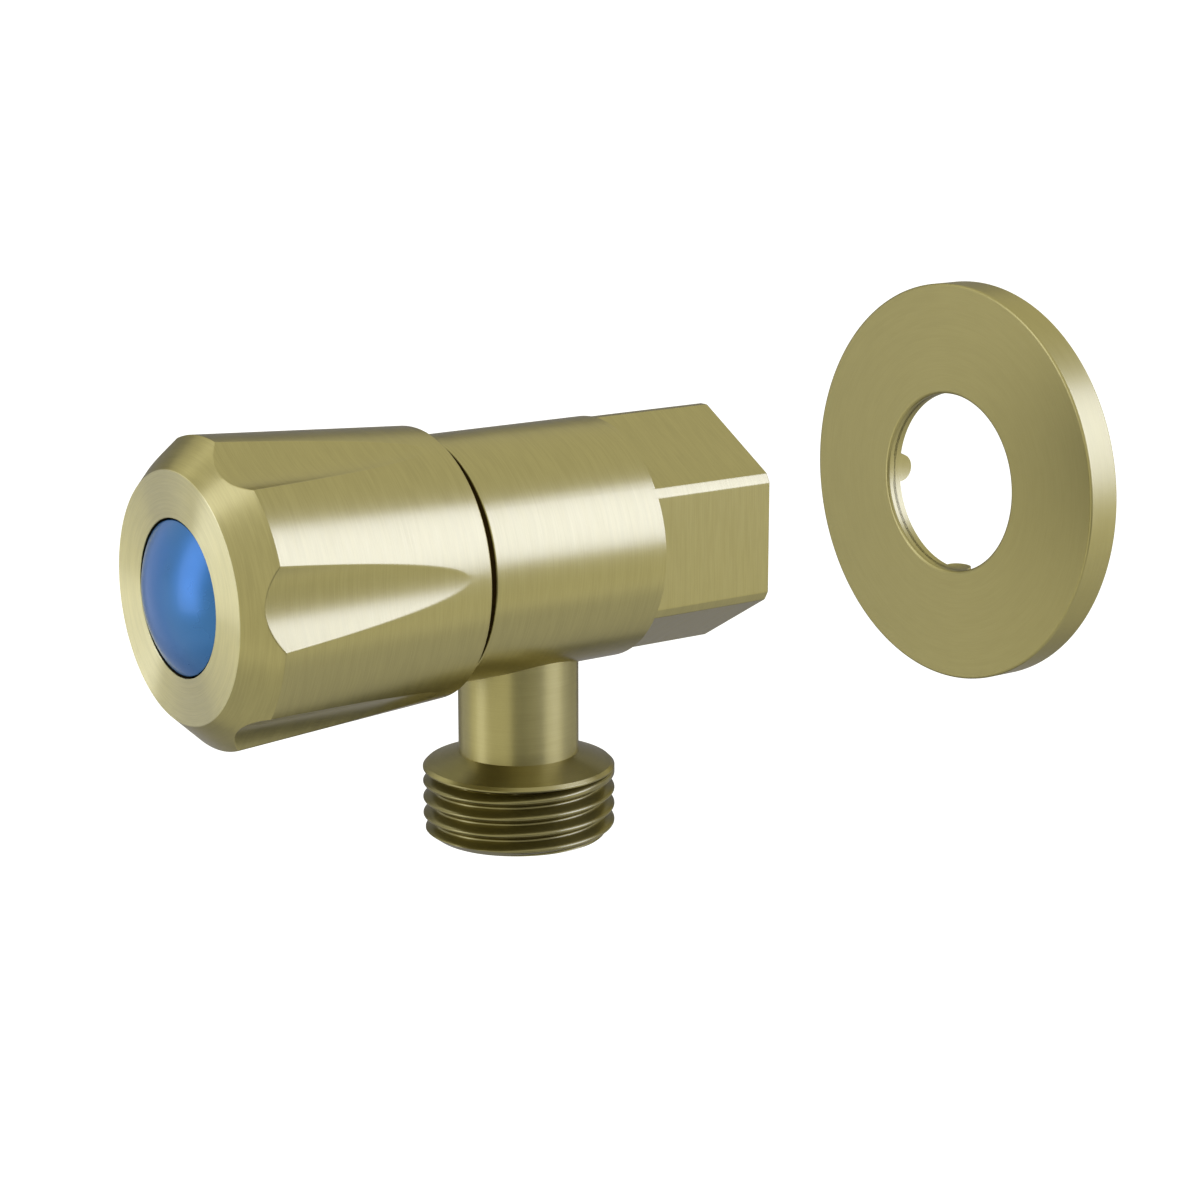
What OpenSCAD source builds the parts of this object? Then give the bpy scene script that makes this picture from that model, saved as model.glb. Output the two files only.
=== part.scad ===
// Cistern tap: a quarter-turn ceramic-disc angle valve with a fluted knob and a loose cover plate.
// The row frame has its origin at the middle of the inlet mouth. +Y points to the wall and +Z up.
// A station is a distance from the inlet mouth along the tap's axis, towards the knob (-Y).
// A drop is a distance below that axis. All sizes are in millimetres.

/* [Body] */
// Diameter of the turned barrel
barrel_d = 26.4; // [25.6:0.1:30]
// Length of the body from the inlet mouth to the edge behind the knob
barrel_len = 36.7; // [36:0.1:44]
// Width across the six spanner flats
hex_af = 23.4; // [23:0.1:24.4]
// Length of the spanner flats
hex_len = 15.2; // [10:0.1:17]
// Bore between the inlet socket and the seat
waterway_d = 11; // [9:0.1:11.4]
// Thickness of metal between the inlet socket and the seat
seat_web = 6.5; // [5:0.1:7]
// Bore of the chamber round the cartridge
chamber_d = 18.4; // [18:0.1:18.6]

/* [Pipe threads] */
// Outside diameter of the half-inch pipe thread
thread_major_d = 20.955; // [20.8:0.005:21.1]
// Hole diameter of the half-inch pipe thread
thread_minor_d = 18.631; // [18.6:0.001:18.7]
// Length of thread in the inlet socket
inlet_thread_len = 11; // [9:0.1:11.6]
// Lead-in at the inlet mouth
mouth_bevel = 0.4; // [0.2:0.1:0.8]

/* [Outlet] */
// Station of the outlet's axis
outlet_station = 25.3; // [24.5:0.1:26]
// Diameter of the plain neck
neck_d = 13.1; // [11.5:0.1:15]
// Drop of the top of the sloping shoulder
shoulder_drop = 22.5; // [20:0.1:26]
// Height of the sloping shoulder
shoulder_fall = 1.3; // [0.8:0.1:2]
// Bevel between the shoulder and the thread
shoulder_bevel = 0.35; // [0.2:0.05:0.6]
// Length of the outlet thread with its end taper
outlet_thread_len = 7.55; // [6.5:0.05:14]
// Height of the end taper
outlet_taper = 0.8; // [0.4:0.1:1.2]
// Bore of the outlet
outlet_bore_d = 8; // [6:0.1:8]

/* [Knob] */
// Gap between the body and the knob
knob_gap = 1.3; // [1:0.1:2]
// Diameter of the knob at its rear edge
knob_rear_d = 28.8; // [28.4:0.1:32]
// Diameter of the knob at its widest rim
knob_rim_d = 31.9; // [30.5:0.1:36]
// Diameter of the knob's flat front face
knob_face_d = 25.6; // [22:0.1:27]
// Length from the rear edge to the widest rim
knob_len = 24.55; // [23:0.05:30]
// Length of the sloping front band
knob_slope_len = 3.4; // [2.5:0.1:5]
// Number of grip flutes
flute_count = 6; // [4:1:8]
// Radius of the round cutter that makes a flute
flute_cutter_r = 11; // [8:0.1:14]
// Distance from the axis to the bottom of a flute
flute_floor_r = 14.57; // [14.2:0.01:15.2]
// Turn of the flutes about the axis with the tap shut
flute_turn = 5; // [0:1:30]
// Wall of the knob's skirt at its rear edge
knob_wall = 1.9; // [1.5:0.1:2]
// Diameter of the hub inside the knob
hub_d = 16; // [15:0.1:18]
// Thickness of the web that the screw clamps
web_thickness = 2.5; // [2:0.1:3]

/* [Index button] */
// Diameter of the button's rim
button_d = 15.7; // [14.6:0.1:16.5]
// Height of the dome over the knob's face
dome_height = 2.3; // [1.5:0.1:3]
// Depth of the step that the button's rim sits on
button_step = 1.75; // [1.2:0.05:2.2]
// Outside diameter of the button's snap skirt
snap_d = 13; // [12.6:0.1:13.4]
// Length of the snap skirt
snap_len = 3.8; // [2.5:0.1:4]
// Wall of the snap skirt
snap_wall = 0.9; // [0.7:0.1:1.2]

/* [Screw] */
// Diameter of the knob screw
screw_d = 4; // [3:0.5:4]
// Length of the screw under its head
screw_len = 10; // [8:0.5:11]
// Diameter of the screw head
screw_head_d = 7; // [6.5:0.1:8]
// Height of the screw head
screw_head_h = 2.2; // [1.8:0.1:2.4]
// Depth of the screw's seat under the knob's face
screw_seat_depth = 7.45; // [7.2:0.05:8.2]
// Thickness of the lock washer
lock_washer_t = 0.8; // [0.6:0.1:0.8]

/* [Cartridge] */
// Outside diameter of the housing's skirt
housing_skirt_d = 17; // [16.8:0.1:17.4]
// Bore of the disc chamber
disc_bore_d = 15.2; // [15:0.1:15.4]
// Thickness of the housing's flange
flange_t = 2.2; // [1.8:0.1:2.6]
// Diameter of the housing's flange
flange_d = 23.6; // [23:0.1:23.8]
// Width across the flats of the housing's hexagon
housing_hex_af = 17; // [16:0.1:19]
// Height of the housing's hexagon
housing_hex_h = 4.4; // [4:0.1:5]
// Diameter of the housing's neck
housing_neck_d = 14.8; // [14.6:0.1:15.4]
// Height of the housing's neck under the stop washer
housing_neck_h = 2.2; // [1.8:0.1:2.4]
// Thickness of each ceramic disc
disc_t = 3; // [2.6:0.1:3.2]
// Height of the seat seal
seal_h = 2.5; // [2.2:0.1:2.8]
// How far the seat seal stands out of the housing
seal_proud = 0.9; // [0.5:0.1:1.2]
// Inner radius of the ports in the discs
port_r_in = 3; // [2.9:0.1:3.4]
// Outer radius of the ports in the discs
port_r_out = 6.2; // [5.6:0.1:6.4]
// Angle of each port
port_angle = 84; // [70:1:86]
// Diameter of the spindle's shank
shank_d = 9.9; // [9.5:0.1:10.4]
// Diameter of the spindle's stem
stem_d = 8; // [7.8:0.1:8.2]
// Width of the bar that turns the moving disc
drive_bar_w = 3.9; // [3.2:0.1:4]
// Depth of the bar in the moving disc
drive_bar_depth = 1.2; // [0.8:0.1:1.5]
// Room between the moving disc and the spindle's flange
outflow_room = 2.25; // [2:0.05:2.5]
// Thickness of the spindle's flange
spindle_flange_t = 1.2; // [1:0.1:1.5]
// Thickness of the slip washer
slip_washer_t = 0.6; // [0.4:0.1:0.8]
// Number of spline teeth
spline_teeth = 20; // [16:2:24]
// Thickness of the cord of the spindle's rings
spindle_ring_cord = 1.55; // [1.3:0.05:1.7]
// Thickness of the cord of the housing's ring
housing_ring_cord = 1.4; // [1.2:0.05:1.45]
// Angle that the tap turns between its stops
turn_angle = 90; // [80:1:95]

/* [Cover plate] */
// Outside diameter of the cover plate
plate_d = 47.7; // [44:0.1:60]
// Depth of the plate's rim
plate_depth = 4.1; // [4:0.1:7]
// Thickness of the plate's sheet
sheet_t = 1; // [0.8:0.1:1.2]
// Diameter of the plate's hole
plate_hole_d = 21.45; // [21.3:0.05:22]
// Depth of the collar round the hole
collar_depth = 1.95; // [1.8:0.05:2.2]
// Radius of each grip tongue on the collar
tongue_r = 1.7; // [1.2:0.1:1.75]
// How far the tip of each grip tongue is bent inwards
tongue_set = 0.2; // [0:0.05:0.2]
// Number of grip tongues
tongue_count = 4; // [3:1:6]
// Distance from the inlet mouth to the plate's front, with the plate pulled off
plate_pull = 37.1; // [20:0.1:60]

/* [Fits] */
// Radial clearance of a shaft that turns in its hole
run_fit = 0.05; // [0.03:0.01:0.09]
// Clearance between pieces that are put together by hand
slip_fit = 0.1; // [0.05:0.01:0.15]
// Gap between faces that move past each other
free_gap = 0.3; // [0.25:0.01:0.4]
// Gap between the lapped faces of the discs
lap_gap = 0.05; // [0.03:0.01:0.08]
// Small bevel on outer edges
edge_break = 0.2; // [0.1:0.05:0.3]

/* [Hidden] */
$fn = 96;
over = 1; // how far a cutter runs past the metal it cuts
brushed_brass = [0.62, 0.58, 0.37];
plain_brass = [0.80, 0.66, 0.35];
rubber_black = [0.10, 0.10, 0.11];
ceramic_white = [0.93, 0.92, 0.88];
steel = [0.70, 0.71, 0.72];
nylon_white = [0.88, 0.88, 0.84];
button_blue = [0.20, 0.45, 0.80];

// Body, by radius and station
barrel_r = barrel_d / 2;
thread_major_r = thread_major_d / 2;
thread_minor_r = thread_minor_d / 2;
thread_mid_r = (thread_major_r + thread_minor_r) / 2; // where a plain cylinder stands for engaged threads
waterway_r = waterway_d / 2;
chamber_r = chamber_d / 2;
drill_cone = 1.5; // length of the cone at the bottom of the inlet socket
seat_station = inlet_thread_len + seat_web;
ring_groove_depth = housing_ring_cord + slip_fit; // of the recess for the ring in the body's front
relief_r = thread_minor_r + slip_fit; // of the housing where the ring sits
ring_groove_r = relief_r + housing_ring_cord + 2 * slip_fit;
chamber_end = outlet_station + outlet_bore_d / 2 + free_gap; // the front thread starts here

// Outlet, by radius and drop
neck_r = neck_d / 2;
bevel_drop = shoulder_drop + shoulder_fall;
outlet_drop = bevel_drop + shoulder_bevel + outlet_thread_len;
outlet_end_r = thread_major_r - (thread_major_r - thread_minor_r) * 0.93;

// Disc stack, by station
housing_foot = seat_station + seal_proud;
fixed_disc_foot = seat_station + seal_h;
moving_disc_foot = fixed_disc_foot + disc_t + lap_gap;
moving_disc_top = moving_disc_foot + disc_t;
spindle_flange_foot = moving_disc_top + outflow_room;
spindle_flange_top = spindle_flange_foot + spindle_flange_t;
slip_washer_foot = spindle_flange_top + lap_gap;
housing_shoulder = slip_washer_foot + slip_washer_t + lap_gap;
disc_bore_r = disc_bore_d / 2;
disc_r = disc_bore_r - slip_fit;
skirt_r = housing_skirt_d / 2;
lug_w = 3;
lug_reach = skirt_r - slip_fit;

// Housing, by station
flange_top = barrel_len + flange_t;
housing_hex_top = flange_top + housing_hex_h;
housing_top = housing_hex_top + housing_neck_h;
guide_len = 4.4; // of the narrow bore at the top of the housing
shank_bore_top = housing_top - guide_len;
shank_r = shank_d / 2;
stem_r = stem_d / 2;
stop_wall_h = 1.2;
stop_wall_t = 0.8;
stop_tab_w = 3;
stop_tab_turn = 45; // where the stop washer's tab stands with the tap shut
housing_neck_r = housing_neck_d / 2;
stop_tab_half = asin(stop_tab_w / 2 / (housing_neck_r - stop_wall_t));
stop_slack = 2; // free angle past each end of the turn
stop_washer_t = 0.8;
stop_washer_foot = housing_top + lap_gap;
stop_washer_top = stop_washer_foot + stop_washer_t;
stem_flats = stem_d * 0.86;

// Circlip, by radius and station
circlip_t = 0.8;
circlip_foot = stop_washer_top + lap_gap;
circlip_top = circlip_foot + circlip_t;
circlip_groove_r = stem_r - 0.7;
circlip_w = 1.9;
circlip_gap_angle = 50;

// Knob, by radius and station
knob_rear = barrel_len + knob_gap;
knob_rim = knob_rear + knob_len;
knob_face = knob_rim + knob_slope_len;
cavity_r = knob_rear_d / 2 - knob_wall;
screw_seat = knob_face - screw_seat_depth;
web_rear = screw_seat - web_thickness;
cavity_floor = web_rear - 1;
hub_foot = circlip_top + 2 * free_gap;
hub_bore_r = hub_d / 2 - 1.75;
button_seat = knob_face - button_step;
recess_r = button_d / 2 + 0.2;
snap_r = snap_d / 2;
screw_r = screw_d / 2;

// Spindle, by radius and station
spindle_end = web_rear - free_gap;
spline_foot = hub_foot;
spline_tip_r = stem_r - slip_fit;
spline_root_r = spline_tip_r - 0.4;
ring_cord_r = spindle_ring_cord / 2;
shank_bore_r = shank_r + run_fit;
ring_mid_r = shank_bore_r - slip_fit - ring_cord_r;
ring_groove_w = spindle_ring_cord + 4 * slip_fit;
ring_spacing = (shank_bore_top - housing_shoulder) / 3;
lower_ring_station = housing_shoulder + ring_spacing;
upper_ring_station = housing_shoulder + 2 * ring_spacing;
screw_hole_foot = screw_seat + lock_washer_t - screw_len - 2 * slip_fit;

// Cover plate, by radius
plate_r = plate_d / 2;
plate_hole_r = plate_hole_d / 2;
fold_r = 0.4; // round edge at the front of the hole

// Lays a shape that stands on +Z along the tap's axis, so that its height is a station
module on_axis() rotate([90, 0, 0]) children();

// A shape turned on a lathe from points of radius and station
module turned(points) rotate_extrude() polygon(points);

// A flat washer
module washer(r_in, r_out, foot, thickness)
    translate([0, 0, foot]) difference() {
        cylinder(r = r_out, h = thickness);
        translate([0, 0, -over]) cylinder(r = r_in, h = thickness + 2 * over);
    }

// A round rubber ring
module cord_ring(mid_r, cord_r, station)
    translate([0, 0, station]) rotate_extrude() translate([mid_r, 0]) circle(r = cord_r);

// A part of a ring, its middle at the given turn
module ring_sector(r_in, r_out, foot, height, angle, turn)
    translate([0, 0, foot]) rotate([0, 0, turn - angle / 2])
        rotate_extrude(angle = angle) translate([r_in, 0]) square([r_out - r_in, height]);

// A six-sided bar
module hexagon(across_flats, foot, height)
    translate([0, 0, foot]) cylinder(r = across_flats / 2 / cos(30), h = height, $fn = 6);

// The six spanner flats milled into the round barrel
module spanner_flats() {
    flat_w = barrel_d;
    for (i = [0:5]) rotate([0, 0, 60 * i])
        translate([hex_af / 2, -flat_w / 2, -over]) cube([barrel_d, flat_w, hex_len + over]);
}

// Everything that is bored out of the body along its axis
module body_bores() {
    turned([[0, -over], [thread_minor_r + mouth_bevel, -over], [thread_minor_r + mouth_bevel, 0],
        [thread_minor_r, mouth_bevel], [thread_minor_r, inlet_thread_len],
        [waterway_r, inlet_thread_len + drill_cone], [waterway_r, seat_station],
        [chamber_r, seat_station], [chamber_r, chamber_end], [thread_mid_r, chamber_end],
        [thread_mid_r, barrel_len - ring_groove_depth], [ring_groove_r, barrel_len - ring_groove_depth],
        [ring_groove_r, barrel_len + over], [0, barrel_len + over]]);
}

// The neck, the sloping shoulder and the threaded end, standing down from the axis
module outlet_spigot()
    turned([[0, 0], [neck_r, 0], [neck_r, shoulder_drop], [thread_major_r - shoulder_bevel, bevel_drop],
        [thread_major_r, bevel_drop + shoulder_bevel], [thread_major_r, outlet_drop - outlet_taper],
        [outlet_end_r, outlet_drop], [0, outlet_drop]]);

module valve_body() color(brushed_brass) difference() {
    union() {
        on_axis() difference() {
            turned([[0, 0], [barrel_r, 0], [barrel_r, barrel_len - edge_break],
                [barrel_r - edge_break, barrel_len], [0, barrel_len]]);
            spanner_flats();
        }
        translate([0, -outlet_station, 0]) rotate([180, 0, 0]) outlet_spigot();
    }
    on_axis() body_bores();
    translate([0, -outlet_station, -outlet_drop - over]) cylinder(d = outlet_bore_d, h = outlet_drop + over);
}

// The housing's turned outside
module housing_outside() {
    turned([[0, housing_foot], [skirt_r, housing_foot], [skirt_r, chamber_end + free_gap],
        [thread_mid_r - run_fit, chamber_end + free_gap],
        [thread_mid_r - run_fit, barrel_len - ring_groove_depth], [relief_r, barrel_len - ring_groove_depth],
        [relief_r, barrel_len], [flange_d / 2, barrel_len], [flange_d / 2, flange_top - edge_break],
        [flange_d / 2 - edge_break, flange_top], [0, flange_top]]);
    hexagon(housing_hex_af, flange_top - over, housing_hex_h + over);
    translate([0, 0, housing_hex_top - over])
        cylinder(r = housing_neck_r, h = housing_neck_h + stop_wall_h + over);
}

// The bores inside the housing
module housing_inside()
    turned([[0, housing_foot - over], [disc_bore_r, housing_foot - over],
        [disc_bore_r, housing_shoulder], [shank_bore_r, housing_shoulder],
        [shank_bore_r, shank_bore_top], [stem_r + run_fit, shank_bore_top],
        [stem_r + run_fit, housing_top + over], [0, housing_top + over]]);

// Two side windows over the discs, where the water leaves the cartridge
module outflow_windows() {
    window_w = 10;
    window_foot = moving_disc_foot + free_gap;
    window_h = spindle_flange_foot - window_foot;
    translate([-window_w / 2, -skirt_r - over, window_foot])
        cube([window_w, 2 * (skirt_r + over), window_h]);
}

// Two slots in the housing's foot, where the fixed disc's lugs are held
module lug_slots() {
    slot_w = lug_w + 2 * slip_fit;
    slot_h = fixed_disc_foot + disc_t + slip_fit - housing_foot;
    translate([-skirt_r - over, -slot_w / 2, housing_foot - over])
        cube([2 * (skirt_r + over), slot_w, slot_h + over]);
}

// The step for the stop washer, open at one side where the washer's tab swings
module stop_step() {
    free_angle = turn_angle + 2 * (stop_tab_half + stop_slack);
    wall_r_in = housing_neck_r - stop_wall_t;
    translate([0, 0, housing_top]) cylinder(r = wall_r_in, h = stop_wall_h + over);
    ring_sector(wall_r_in - over, housing_neck_r + over, housing_top, stop_wall_h + over, free_angle,
        stop_tab_turn + turn_angle / 2);
}

module cartridge_housing() color(plain_brass) on_axis() difference() {
    housing_outside();
    housing_inside();
    outflow_windows();
    lug_slots();
    stop_step();
}

module housing_ring() color(rubber_black) on_axis()
    cord_ring((ring_groove_r + relief_r) / 2, housing_ring_cord / 2,
        barrel_len - ring_groove_depth / 2);

module seat_seal() color(rubber_black) on_axis() {
    seal_r = disc_r;
    lip = 0.6;
    turned([[seal_r - 1.6, seat_station + lip], [seal_r - 1, seat_station], [seal_r - lip, seat_station],
        [seal_r, seat_station + lip], [seal_r, fixed_disc_foot], [seal_r - 1.6, fixed_disc_foot]]);
}

module seal_support_ring() color(nylon_white) on_axis() {
    support_r = disc_r - 1.6 - slip_fit;
    washer(support_r - 0.9, support_r, seat_station + 0.4, seal_h - 0.4 - slip_fit);
}

// Two opposite ports cut through a disc
module disc_ports(foot, turn)
    for (side = [0, 180])
        ring_sector(port_r_in, port_r_out, foot - over, disc_t + 2 * over, port_angle, turn + side);

module fixed_disc() color(ceramic_white) on_axis() difference() {
    union() {
        translate([0, 0, fixed_disc_foot]) cylinder(r = disc_r, h = disc_t);
        translate([-lug_reach, -lug_w / 2, fixed_disc_foot]) cube([2 * lug_reach, lug_w, disc_t]);
    }
    disc_ports(fixed_disc_foot, 0);
}

module moving_disc() color(ceramic_white) on_axis() difference() {
    slot_w = drive_bar_w + 2 * slip_fit;
    translate([0, 0, moving_disc_foot]) cylinder(r = disc_r, h = disc_t);
    disc_ports(moving_disc_foot, 90);
    translate([-disc_r - over, -slot_w / 2, moving_disc_top - drive_bar_depth - slip_fit])
        cube([2 * (disc_r + over), slot_w, disc_t]);
}

// A star of teeth round the stem; grow widens it for the hole that it fits
module spline_star(grow)
    polygon([for (i = [0:2 * spline_teeth - 1])
        let (r = (i % 2 == 0 ? spline_tip_r : spline_root_r) + grow, a = 180 * i / spline_teeth)
            [r * cos(a), r * sin(a)]]);

// A groove cut round the spindle
module spindle_groove(floor_r, station, width)
    washer(floor_r, shank_r + over, station - width / 2, width);

module spindle() color(plain_brass) on_axis() difference() {
    union() {
        intersection() {
            translate([-disc_r, -drive_bar_w / 2, moving_disc_top - drive_bar_depth])
                cube([2 * disc_r, drive_bar_w, drive_bar_depth + outflow_room + over / 2]);
            cylinder(r = disc_r - free_gap, h = spindle_flange_top);
        }
        turned([[0, spindle_flange_foot], [disc_r - free_gap, spindle_flange_foot],
            [disc_r - free_gap, spindle_flange_top], [shank_r, spindle_flange_top],
            [shank_r, shank_bore_top - free_gap], [stem_r, shank_bore_top - free_gap],
            [stem_r, spline_foot], [0, spline_foot]]);
        translate([0, 0, spline_foot - over / 2])
            linear_extrude(spindle_end - spline_foot + over / 2) spline_star(0);
    }
    spindle_groove(ring_mid_r - ring_cord_r - slip_fit, lower_ring_station, ring_groove_w);
    spindle_groove(ring_mid_r - ring_cord_r - slip_fit, upper_ring_station, ring_groove_w);
    spindle_groove(circlip_groove_r, (circlip_foot + circlip_top) / 2, circlip_t + lap_gap);
    for (side = [0, 180]) rotate([0, 0, stop_tab_turn + side])
        translate([stem_flats / 2, -stem_r, housing_top]) cube([stem_r, stem_d, circlip_foot - housing_top]);
    translate([0, 0, screw_hole_foot]) cylinder(r = screw_r, h = spindle_end);
}

module lower_spindle_ring() color(rubber_black) on_axis()
    cord_ring(ring_mid_r, ring_cord_r, lower_ring_station);

module upper_spindle_ring() color(rubber_black) on_axis()
    cord_ring(ring_mid_r, ring_cord_r, upper_ring_station);

module slip_washer() color(nylon_white) on_axis()
    washer(shank_r + slip_fit, disc_r - free_gap, slip_washer_foot, slip_washer_t);

module stop_washer() color(steel) on_axis() {
    ring_r = housing_neck_r - stop_wall_t - free_gap;
    tab_r = housing_neck_r - run_fit;
    difference() {
        union() {
            translate([0, 0, stop_washer_foot]) cylinder(r = ring_r, h = stop_washer_t);
            rotate([0, 0, stop_tab_turn]) translate([0, -stop_tab_w / 2, stop_washer_foot])
                cube([tab_r, stop_tab_w, stop_washer_t]);
        }
        rotate([0, 0, stop_tab_turn]) translate([0, 0, stop_washer_foot - over]) intersection() {
            cylinder(r = stem_r + slip_fit, h = stop_washer_t + 2 * over);
            translate([-stem_flats / 2 - slip_fit, -stem_d, 0])
                cube([stem_flats + 2 * slip_fit, 2 * stem_d, stop_washer_t + 2 * over]);
        }
    }
}

module circlip() color(steel) on_axis() {
    clip_r = circlip_groove_r + lap_gap;
    ear_r = 0.9;
    ear_turn = circlip_gap_angle / 2 + 8;
    difference() {
        union() {
            ring_sector(clip_r, clip_r + circlip_w, circlip_foot, circlip_t,
                360 - circlip_gap_angle, 180);
            for (side = [-1, 1]) rotate([0, 0, side * ear_turn])
                translate([clip_r + circlip_w - ear_r / 2, 0, circlip_foot])
                    cylinder(r = ear_r, h = circlip_t);
        }
        for (side = [-1, 1]) rotate([0, 0, side * ear_turn])
            translate([clip_r + circlip_w - ear_r / 2, 0, circlip_foot - over])
                cylinder(r = ear_r / 2, h = circlip_t + 2 * over);
    }
}

// The knob's turned outside: a taper that widens to the rim, then the sloping band and the flat face
module knob_outside()
    turned([[0, knob_rear], [knob_rear_d / 2 - edge_break, knob_rear],
        [knob_rear_d / 2, knob_rear + edge_break], [knob_rim_d / 2, knob_rim],
        [knob_face_d / 2, knob_face], [0, knob_face]]);

// The grip flutes: round cuts parallel to the axis, which run out where the taper falls below their floor
module grip_flutes()
    for (i = [0:flute_count - 1]) rotate([0, 0, flute_turn + 360 * i / flute_count])
        translate([flute_floor_r + flute_cutter_r, 0, knob_rear - over])
            rotate([0, 0, 180]) cylinder(r = flute_cutter_r, h = knob_face - knob_rear + 2 * over);

// The hollow round the hub, open at the rear
module knob_cavity()
    turned([[hub_d / 2, cavity_floor], [hub_d / 2, hub_foot], [0, hub_foot], [0, knob_rear - over],
        [cavity_r, knob_rear - over], [cavity_r, cavity_floor]]);

module knob() color(brushed_brass) on_axis() difference() {
    knob_outside();
    grip_flutes();
    knob_cavity();
    translate([0, 0, hub_foot - over]) cylinder(r = hub_bore_r, h = web_rear - hub_foot + over);
    translate([0, 0, web_rear - over]) cylinder(r = screw_r + 0.25, h = web_thickness + 2 * over);
    translate([0, 0, screw_seat]) cylinder(r = snap_r + slip_fit, h = screw_seat_depth);
    translate([0, 0, button_seat]) cylinder(r = recess_r, h = button_step + over);
}

module spline_bush() color(nylon_white) on_axis() difference() {
    bush_foot = hub_foot + free_gap;
    bush_h = web_rear - bush_foot;
    translate([0, 0, bush_foot]) cylinder(r = hub_bore_r - run_fit, h = bush_h);
    translate([0, 0, bush_foot - over]) linear_extrude(bush_h + 2 * over) spline_star(run_fit);
}

module lock_washer() color(steel) on_axis() difference() {
    split_w = 0.7;
    washer(screw_r + slip_fit, screw_head_d / 2, screw_seat, lock_washer_t);
    rotate([0, 0, 30]) translate([0, -split_w / 2, screw_seat - over])
        cube([screw_head_d, split_w, lock_washer_t + 2 * over]);
}

module knob_screw() color(steel) on_axis() difference() {
    head_foot = screw_seat + lock_washer_t;
    recess_w = 0.9;
    recess_len = 4;
    recess_depth = 1.3;
    head_edge = 0.6;
    turned([[0, head_foot - screw_len], [screw_r - run_fit, head_foot - screw_len],
        [screw_r - run_fit, head_foot], [screw_head_d / 2, head_foot],
        [screw_head_d / 2, head_foot + screw_head_h - head_edge],
        [screw_head_d / 2 - head_edge, head_foot + screw_head_h], [0, head_foot + screw_head_h]]);
    for (turn = [0, 90]) rotate([0, 0, turn])
        translate([-recess_len / 2, -recess_w / 2, head_foot + screw_head_h - recess_depth])
            cube([recess_len, recess_w, recess_depth + over]);
}

// The blue button: a domed cap with three snap legs under it
module index_button() color(button_blue) on_axis() {
    rim_r = button_d / 2;
    rim_top = knob_face - edge_break;
    crown = dome_height + edge_break;
    dome_r = (rim_r * rim_r + crown * crown) / (2 * crown);
    slot_w = 3;
    snap_foot = button_seat - snap_len;
    difference() {
        union() {
            translate([0, 0, button_seat]) cylinder(r = rim_r, h = rim_top - button_seat);
            intersection() {
                translate([0, 0, rim_top + crown - dome_r]) sphere(r = dome_r);
                translate([0, 0, rim_top - over / 2]) cylinder(r = rim_r, h = crown + over);
            }
            difference() {
                translate([0, 0, snap_foot]) cylinder(r = snap_r, h = snap_len + over / 2);
                for (i = [0:2]) rotate([0, 0, 120 * i]) translate([0, -slot_w / 2, snap_foot - over])
                    cube([snap_d, slot_w, snap_len + over - free_gap]);
            }
        }
        translate([0, 0, snap_foot - over])
            cylinder(r = snap_r - snap_wall, h = snap_len + over + (rim_top - button_seat) / 2);
    }
}

// The plate's section: a flat front with a rim round it and a folded collar at the hole
module plate_section() difference() {
    union() {
        translate([plate_hole_r, 0]) square([plate_r - plate_hole_r, sheet_t]);
        translate([plate_r - sheet_t, 0]) square([sheet_t, plate_depth]);
        translate([plate_hole_r, 0]) square([sheet_t, collar_depth]);
    }
    polygon([[plate_r - edge_break, -over], [plate_r + over, -over], [plate_r + over, edge_break],
        [plate_r, edge_break], [plate_r - edge_break, 0]]);
    difference() {
        translate([plate_hole_r - over, -over]) square([over + fold_r, over + fold_r]);
        translate([plate_hole_r + fold_r, fold_r]) circle(r = fold_r);
        translate([plate_hole_r + fold_r, -2 * over]) square([over, 4 * over]);
        translate([plate_hole_r - 2 * over, fold_r]) square([4 * over, over]);
    }
}

// Round tongues at the back of the collar, bent inwards to grip the pipe
module grip_tongues() intersection() {
    reach = tongue_r + over;
    lean = tongue_set * reach / tongue_r;
    turned([[plate_hole_r, collar_depth - over / 2], [plate_hole_r + sheet_t, collar_depth - over / 2],
        [plate_hole_r + sheet_t, collar_depth], [plate_hole_r + sheet_t - lean, collar_depth + reach],
        [plate_hole_r - lean, collar_depth + reach], [plate_hole_r, collar_depth]]);
    union() for (i = [0:tongue_count - 1]) rotate([0, 0, 360 * i / tongue_count])
        translate([0, 0, collar_depth]) rotate([0, 90, 0]) cylinder(r = tongue_r, h = plate_r);
}

module cover_plate() color(brushed_brass) translate([0, plate_pull, 0]) rotate([-90, 0, 0]) {
    rotate_extrude() plate_section();
    grip_tongues();
}

valve_body();
cartridge_housing();
housing_ring();
seat_seal();
seal_support_ring();
fixed_disc();
moving_disc();
spindle();
lower_spindle_ring();
upper_spindle_ring();
slip_washer();
stop_washer();
circlip();
knob();
spline_bush();
knob_screw();
lock_washer();
index_button();
cover_plate();
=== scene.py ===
"""Dresses the cistern tap: turned and milled brass skins, the blue button, finishes, light and camera.

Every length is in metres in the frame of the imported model: the origin is the middle of the inlet mouth,
+Y points to the wall, +Z up. A station is a distance from the inlet mouth towards the knob, and a drop
is a distance below the tap's axis.
"""

import math

import bmesh
import bpy
import numpy as np
from mathutils import Matrix, Vector


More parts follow.
